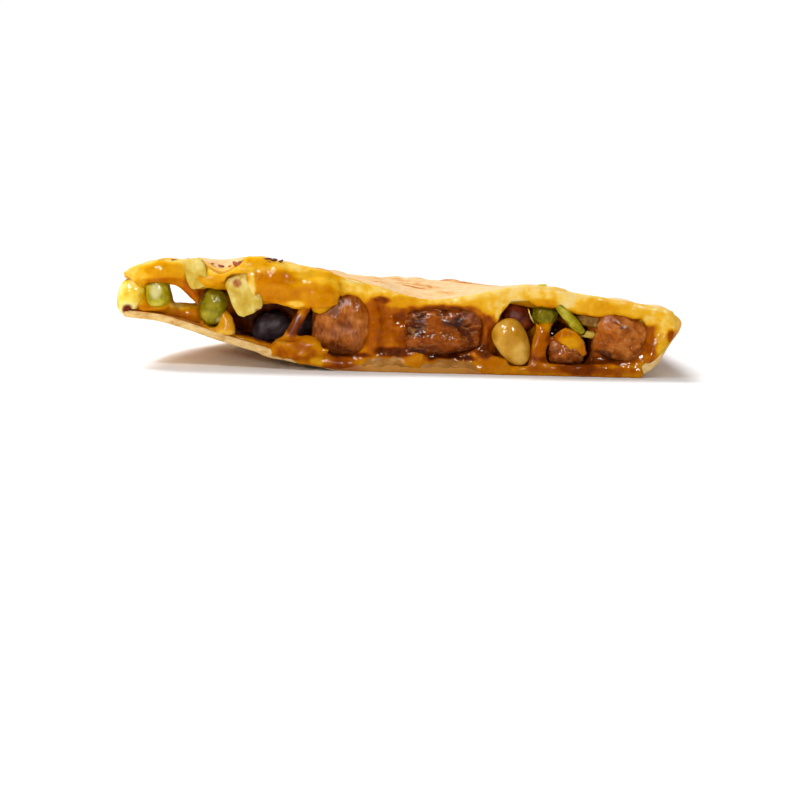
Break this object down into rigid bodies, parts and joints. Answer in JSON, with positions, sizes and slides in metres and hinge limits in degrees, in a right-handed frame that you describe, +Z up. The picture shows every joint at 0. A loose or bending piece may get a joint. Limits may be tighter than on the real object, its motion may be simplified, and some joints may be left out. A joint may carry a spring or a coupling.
{
  "type": "quesadilla wedge",
  "caption": "Wedge of a folded, toasted flour tortilla, cut open and filled with chicken, sweetcorn, beans, peppers and melted cheese.",
  "frame": {"origin": "middle of the bounding box's footprint, on the surface that the wedge lies on", "axes": "+Z up; the cut looks towards -Y; the fold runs along Y on the +X side, and the round rim joins the far ends of both"},
  "size_m": [0.1278, 0.1278, 0.0253],
  "materials": {
    "tortilla": "matt, cream with toasted brown streaks and blisters",
    "cheese": "glossy, melted, orange-yellow",
    "meat": "moist, browned",
    "corn": "glossy yellow kernels",
    "bean": "dark, soft gloss",
    "pepper": "moist green",
    "onion": "moist, translucent pale yellow"
  },
  "bodies": {
    "root": {"bean_black": "bean", "bean_rear": "bean", "bean_red": "bean", "cheese": "cheese", "corn_end": "corn", "corn_lip": "corn", "corn_mid": "corn", "meat_char": "meat", "meat_fold": "meat", "meat_gold": "meat", "meat_left": "meat", "meat_small": "meat", "onion_back": "onion", "onion_chip": "onion", "onion_slab": "onion", "onion_top": "onion", "pepper_back": "pepper", "pepper_curl": "pepper", "pepper_cut": "pepper", "pepper_end": "pepper", "rim_bean_6": "bean", "rim_corn_1": "corn", "rim_corn_4": "corn", "rim_corn_7": "corn", "rim_meat_3": "meat", "rim_onion_5": "onion", "rim_pepper_2": "pepper", "tortilla": "tortilla"}
  },
  "joints": []
}
